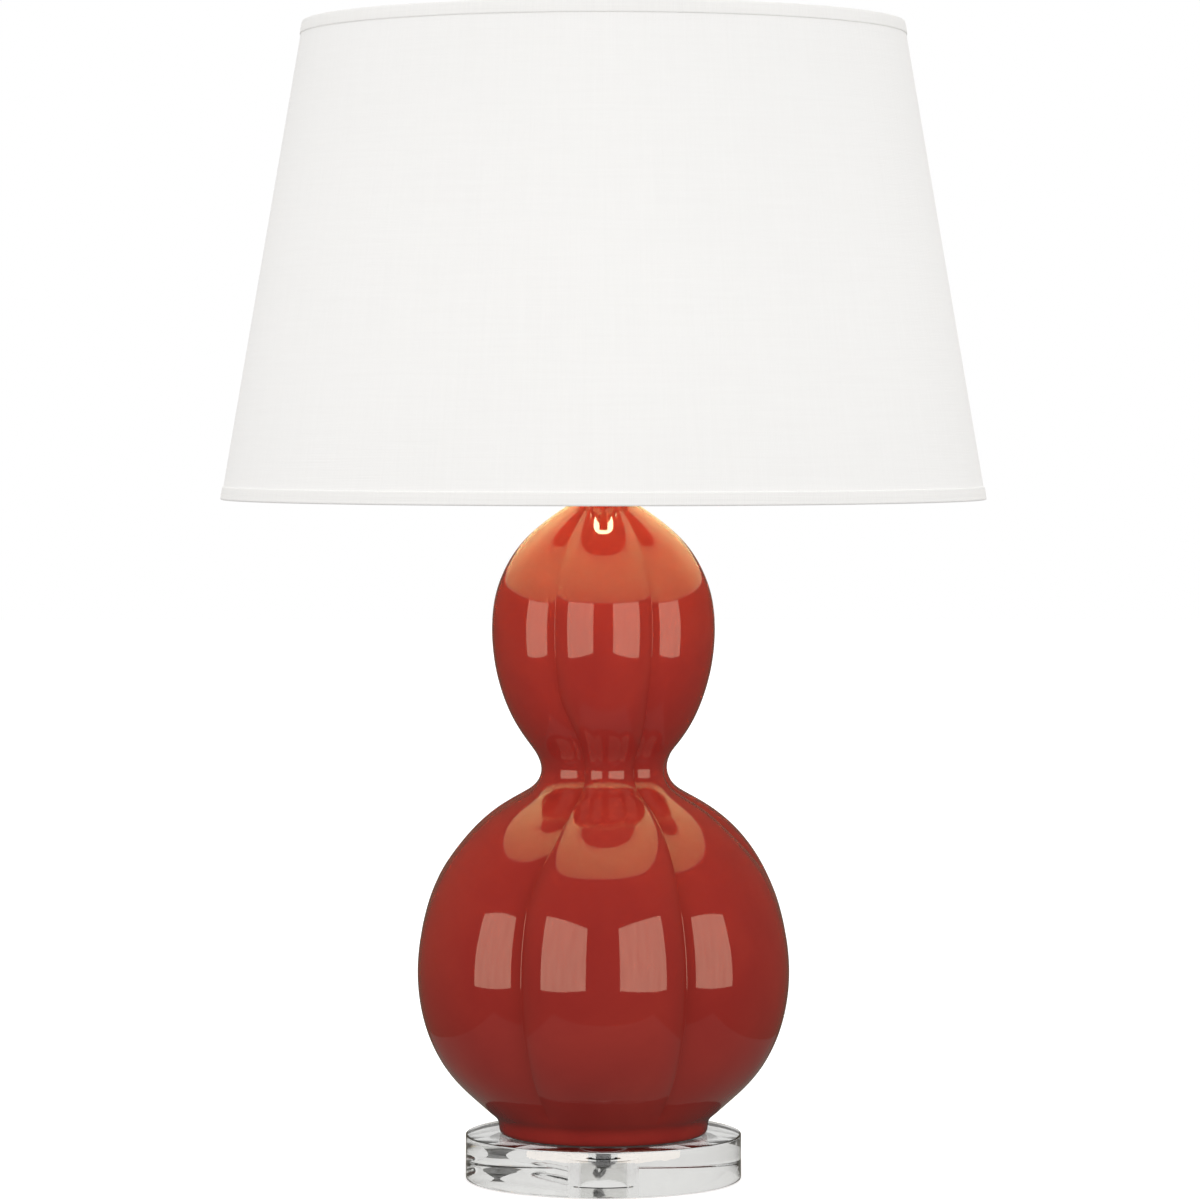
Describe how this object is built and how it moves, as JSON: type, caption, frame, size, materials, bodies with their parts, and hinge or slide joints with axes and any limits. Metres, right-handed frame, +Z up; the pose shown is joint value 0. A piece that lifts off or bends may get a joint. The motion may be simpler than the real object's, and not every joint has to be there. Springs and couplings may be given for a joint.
{
  "type": "table lamp",
  "caption": "Table lamp with a ribbed double-gourd ceramic body on a clear disc base, white empire shade on a harp, screw bulb, turn switch and a coiled cord.",
  "frame": {"origin": "centre of the base disc's underside, on the table", "axes": "+Z up along the lamp's axis; the front faces -Y; the cord leaves at the back, +Y"},
  "size_m": [0.5084, 0.5628, 0.7791],
  "materials": {
    "clear_acrylic": "polished clear",
    "zinc_steel": "zinc plated, dull",
    "dark_steel": "black oxide",
    "dark_plastic": "moulded",
    "glazed_ceramic": "glossy oxblood glaze",
    "brass": "polished",
    "nickel_steel": "nickel plated",
    "liner_card": "matt",
    "aluminium": "drawn",
    "solder": "solder",
    "dark_glass": "opaque black",
    "bulb_glass": "frosted white",
    "clear_glass": "clear",
    "filament": "tungsten",
    "white_linen": "slub linen weave",
    "white_liner": "styrene sheet",
    "white_tape": "folded linen tape",
    "white_wire": "white coated wire",
    "finial_metal": "polished",
    "clear_cord": "clear jacket over tinned strands",
    "copper": "bare strands",
    "tie_band": "soft strap",
    "clear_plug": "clear moulded"
  },
  "bodies": {
    "root": {"base_disc": "clear_acrylic", "base_washer": "zinc_steel", "base_lock_nut": "zinc_steel", "lamp_pipe": "dark_steel", "pipe_bushing": "dark_plastic", "gourd_body": "glazed_ceramic", "vase_cap": "brass", "neck_spacer": "brass", "top_lock_nut": "brass", "harp_saddle": "nickel_steel", "harp_bow": "nickel_steel", "harp_stud": "nickel_steel", "socket_cap": "brass", "socket_shell": "brass", "socket_liner": "liner_card", "switch_housing": "dark_plastic", "screw_shell": "aluminium", "centre_contact": "brass", "terminal_screws": "brass", "lamp_lead": "clear_cord", "lead_wires": "copper", "cord_tube": "clear_cord", "cord_coil": "clear_cord", "cord_tail": "clear_cord", "cord_tie": "tie_band", "plug_body": "clear_plug", "plug_blades": "brass"},
    "shade": {"shade_fabric": "white_linen", "shade_liner": "white_liner", "shade_bottom_trim": "white_tape", "shade_top_trim": "white_tape", "shade_bottom_ring": "white_wire", "shade_top_ring": "white_wire", "spider_hub": "white_wire", "spider_arms": "white_wire"},
    "finial": {"finial_base": "brass", "finial_ball": "finial_metal"},
    "bulb": {"bulb_contact": "solder", "bulb_insulator": "dark_glass", "bulb_cap": "aluminium", "bulb_glass": "bulb_glass", "bulb_stem": "clear_glass", "bulb_filament": "filament"},
    "switch": {"switch_shaft": "brass", "switch_knob": "dark_plastic"},
    "sleeve_left": {"harp_sleeve_left": "nickel_steel"},
    "sleeve_right": {"harp_sleeve_right": "nickel_steel"}
  },
  "joints": [
    {"name": "shade_swivel", "type": "hinge", "parent": "root", "child": "shade", "pos_m": [0, 0, 0.7519], "axis": [0, 0, 1], "continuous": true},
    {"name": "finial_turn", "type": "hinge", "parent": "root", "child": "finial", "pos_m": [0, 0, 0.76], "axis": [0, 0, 1], "continuous": true},
    {"name": "bulb_turn", "type": "hinge", "parent": "root", "child": "bulb", "pos_m": [0, 0, 0.52], "axis": [0, 0, 1], "range_deg": [0, 1890]},
    {"name": "switch_turn", "type": "hinge", "parent": "root", "child": "switch", "pos_m": [0, -0.026, 0.499], "axis": [0, -1, 0], "continuous": true},
    {"name": "sleeve_left_slide", "type": "slide", "parent": "root", "child": "sleeve_left", "axis": [0, 0, 1], "range_m": [0, 0.016]},
    {"name": "sleeve_right_slide", "type": "slide", "parent": "root", "child": "sleeve_right", "axis": [0, 0, 1], "range_m": [0, 0.016]}
  ]
}
